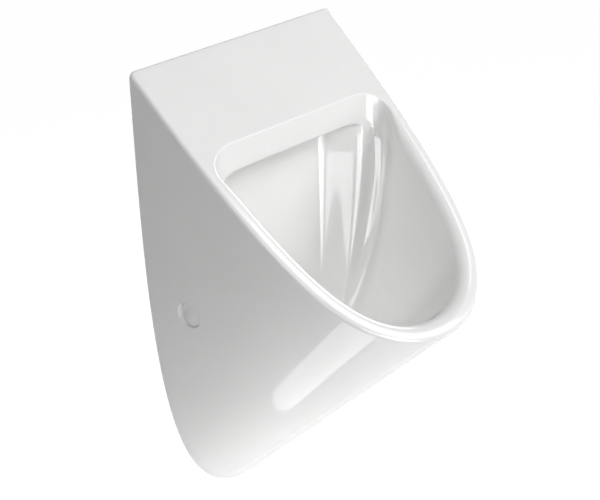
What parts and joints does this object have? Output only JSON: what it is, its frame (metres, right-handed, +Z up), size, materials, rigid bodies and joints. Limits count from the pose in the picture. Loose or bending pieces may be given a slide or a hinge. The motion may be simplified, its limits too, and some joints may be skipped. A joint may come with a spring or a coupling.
{
  "type": "wall hung urinal",
  "caption": "Wall hung urinal with a sloped oval opening, a flush ledge, a hidden trap behind the bowl, side screw caps and hidden wall brackets.",
  "frame": {"origin": "where the axis of the waste outlet meets the wall plane", "axes": "+Z up, +Y into the wall along the outlet, the front faces -Y, +X to the right seen from the front"},
  "size_m": [0.35, 0.3568, 0.586],
  "materials": {
    "china": "gloss",
    "cap_plastic": "gloss",
    "bush_plastic": "matte",
    "steel": "zinc plated",
    "chrome": "polished",
    "rubber": "matte",
    "brass": "turned",
    "copper": "drawn",
    "trap_plastic": "satin"
  },
  "bodies": {
    "urinal": {"ceramic_body": "china", "side_bush_left": "bush_plastic", "side_bush_right": "bush_plastic", "trap_dip_tube": "bush_plastic", "outlet_pipe": "bush_plastic", "side_washer_left": "steel", "side_washer_right": "steel", "side_screw_left": "steel", "side_screw_right": "steel", "bracket_nut_left": "steel", "bracket_nut_right": "steel", "wall_bracket_left": "steel", "wall_bracket_right": "steel", "inlet_washer": "steel", "waste_flange": "chrome", "waste_upper_seal": "rubber", "waste_lower_seal": "rubber", "trap_inlet_seal": "rubber", "trap_cup_seal": "rubber", "outlet_seal": "rubber", "inlet_seal": "rubber", "waste_nut": "brass", "inlet_spud": "brass", "inlet_nut": "brass", "inlet_pipe": "copper", "trap_elbow": "trap_plastic", "trap_inlet_nut": "trap_plastic", "trap_body": "trap_plastic", "trap_cup": "trap_plastic", "outlet_nut": "trap_plastic"},
    "cap_left": {"side_cap_left": "cap_plastic"},
    "cap_right": {"side_cap_right": "cap_plastic"},
    "strainer": {"waste_strainer": "chrome"}
  },
  "joints": [
    {"name": "cap_left_pull", "type": "slide", "parent": "urinal", "child": "cap_left", "axis": [-1, 0, 0], "range_m": [0, 0.025]},
    {"name": "cap_right_pull", "type": "slide", "parent": "urinal", "child": "cap_right", "axis": [1, 0, 0], "range_m": [0, 0.025]},
    {"name": "strainer_lift", "type": "slide", "parent": "urinal", "child": "strainer", "axis": [0, 0, 1], "range_m": [0, 0.06]}
  ]
}
